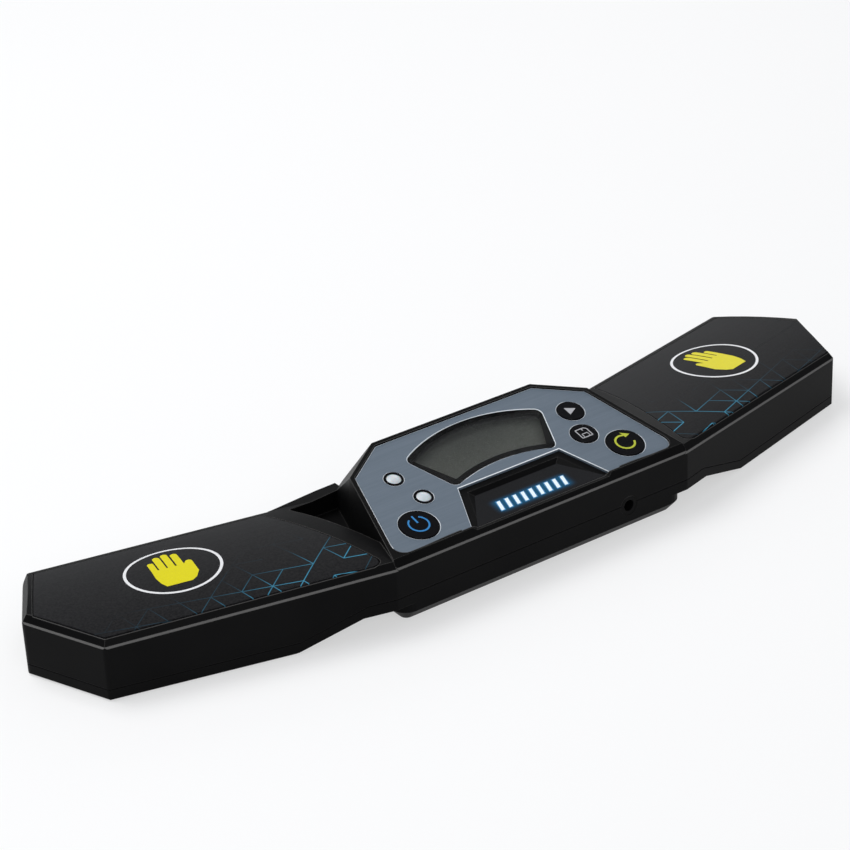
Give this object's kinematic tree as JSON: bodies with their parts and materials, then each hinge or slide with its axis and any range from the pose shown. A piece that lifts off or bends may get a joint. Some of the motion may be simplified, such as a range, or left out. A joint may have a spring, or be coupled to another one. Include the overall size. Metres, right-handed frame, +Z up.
{
  "type": "speed cube timer",
  "caption": "Low desktop timer with a raised tilted console, display window, push buttons and swept-back touch wings for both hands.",
  "frame": {"origin": "middle of the bounding box at the level of the rubber feet", "axes": "+X to the user's right along the wings, +Y away from the user, +Z up"},
  "size_m": [0.2874, 0.0724, 0.0328],
  "materials": {
    "bottom_case": "satin black moulded ABS",
    "top_case": "satin black moulded ABS",
    "console_plate": "blue-grey brushed sheet with fine lines along X",
    "display_window": "clear polished",
    "display_frame": "black, fine matt",
    "lcd_glass": "grey-green reflective display glass, blank",
    "lcd_connectors": "soft striped connector rubber",
    "badge_panel": "glossy black",
    "left_pad": "charcoal foil with a fine grain and fading blue lines",
    "right_pad": "charcoal foil with a fine grain and fading blue lines",
    "left_sensor": "copper sheet",
    "right_sensor": "copper sheet",
    "power_button": "glossy black, blue symbol",
    "reset_button": "glossy black, yellow-green symbol",
    "mode_button": "glossy black, light grey symbol",
    "save_button": "glossy black, white symbol",
    "lamp_rings": "glossy black",
    "lamp_lenses": "milky white",
    "lamp_leds": "clear and yellow moulded",
    "key_switches": "black moulded with a metal lid",
    "main_board": "green solder mask",
    "controller_chip": "black moulded",
    "buzzer": "black moulded",
    "board_screws": "zinc plated",
    "data_jack": "black moulded",
    "jack_board": "green solder mask",
    "left_sensor_lead": "red insulation",
    "right_sensor_lead": "red insulation",
    "battery_leads": "black insulation",
    "battery_contacts": "nickel plated spring steel",
    "cells": "plain blue sleeve, bare metal ends",
    "battery_cover": "satin black moulded ABS",
    "rubber_feet": "matt grey-black",
    "case_screws": "blackened steel"
  },
  "bodies": {
    "case": {"bottom_case": "bottom_case", "top_case": "top_case", "console_plate": "console_plate", "display_window": "display_window", "display_frame": "display_frame", "lcd_glass": "lcd_glass", "lcd_connectors": "lcd_connectors", "badge_panel": "badge_panel", "left_pad": "left_pad", "right_pad": "right_pad", "left_sensor": "left_sensor", "right_sensor": "right_sensor", "lamp_rings": "lamp_rings", "lamp_lenses": "lamp_lenses", "lamp_leds": "lamp_leds", "key_switches": "key_switches", "main_board": "main_board", "controller_chip": "controller_chip", "buzzer": "buzzer", "board_screws": "board_screws", "data_jack": "data_jack", "jack_board": "jack_board", "left_sensor_lead": "left_sensor_lead", "right_sensor_lead": "right_sensor_lead", "battery_leads": "battery_leads", "battery_contacts": "battery_contacts", "cells": "cells", "rubber_feet": "rubber_feet", "case_screws": "case_screws"},
    "power_key": {"power_button": "power_button"},
    "reset_key": {"reset_button": "reset_button"},
    "mode_key": {"mode_button": "mode_button"},
    "save_key": {"save_button": "save_button"},
    "cover": {"battery_cover": "battery_cover"}
  },
  "joints": [
    {"name": "power_press", "type": "slide", "parent": "case", "child": "power_key", "axis": [0, 0.2563, -0.9666], "range_m": [0, 0.0005], "stiffness_N_per_m": 400},
    {"name": "reset_press", "type": "slide", "parent": "case", "child": "reset_key", "axis": [0, 0.2563, -0.9666], "range_m": [0, 0.0005], "stiffness_N_per_m": 400},
    {"name": "mode_press", "type": "slide", "parent": "case", "child": "mode_key", "axis": [0, 0.2563, -0.9666], "range_m": [0, 0.0005], "stiffness_N_per_m": 400},
    {"name": "save_press", "type": "slide", "parent": "case", "child": "save_key", "axis": [0, 0.2563, -0.9666], "range_m": [0, 0.0005], "stiffness_N_per_m": 400},
    {"name": "cover_slide", "type": "slide", "parent": "case", "child": "cover", "axis": [0, 1, 0], "range_m": [0, 0.038]}
  ]
}
